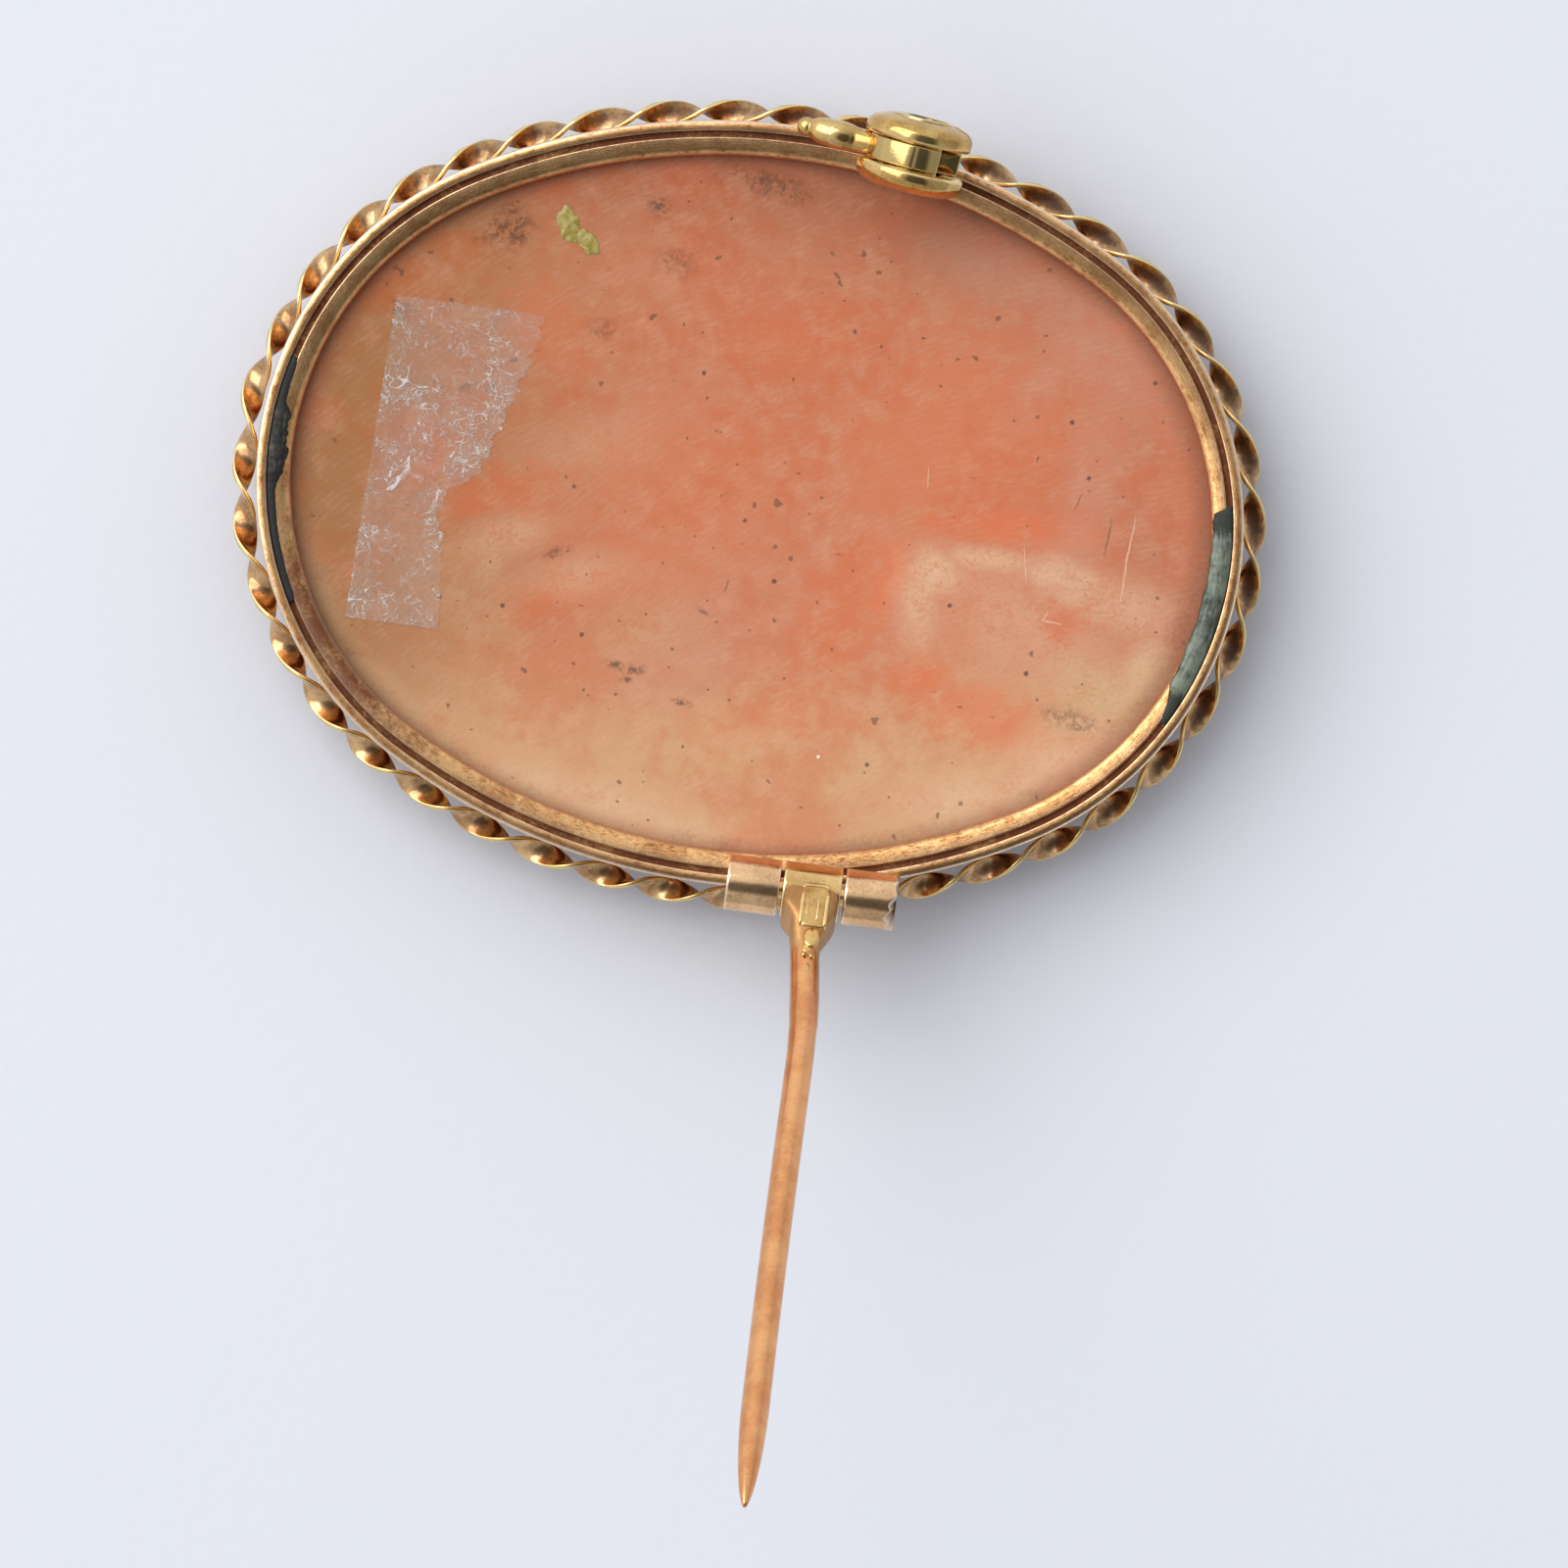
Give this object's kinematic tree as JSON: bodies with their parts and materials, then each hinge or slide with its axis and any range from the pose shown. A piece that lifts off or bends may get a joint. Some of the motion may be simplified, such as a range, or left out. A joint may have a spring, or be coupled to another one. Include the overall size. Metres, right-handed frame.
{
  "type": "cameo brooch",
  "caption": "Oval cameo brooch lying face down, with a twisted border, an open hinged pin and a turning safety catch.",
  "frame": {"origin": "highest flat of the carving, on which the brooch lies, under the middle of the oval", "axes": "+X along the oval's length, +Y across it from the hinge to the catch, +Z towards the brooch's back, away from the surface it lies on"},
  "size_m": [0.0427, 0.0561, 0.0273],
  "materials": {
    "frame_gold": "worn, finely scratched gold",
    "border_gold": "gold with dark patina in the hollows",
    "shell": "translucent peach shell with fine growth lines",
    "rose_gold": "worn rose gold",
    "pin_gold": "drawn coppery gold wire",
    "catch_gold": "polished yellow gold",
    "lead_solder": "dull grey lead solder"
  },
  "bodies": {
    "brooch": {"setting": "frame_gold", "rope_border": "border_gold", "cameo_shell": "shell", "hinge_knuckles": "rose_gold", "hinge_rivet": "rose_gold", "catch_body": "catch_gold", "lead_patch_left": "lead_solder", "lead_patch_right": "lead_solder"},
    "pin": {"pin_stem": "pin_gold"},
    "ring": {"catch_ring": "catch_gold"}
  },
  "joints": [
    {"name": "pin_swing", "type": "hinge", "parent": "brooch", "child": "pin", "pos_m": [0.00465, -0.01536, 0.0066], "axis": [-1, -0.0087, 0], "range_deg": [0, 135]},
    {"name": "catch_turn", "type": "hinge", "parent": "brooch", "child": "ring", "pos_m": [0.00477, 0.01484, 0.0087], "axis": [0.1125, 0.9872, 0.1132], "range_deg": [0, 95]}
  ]
}
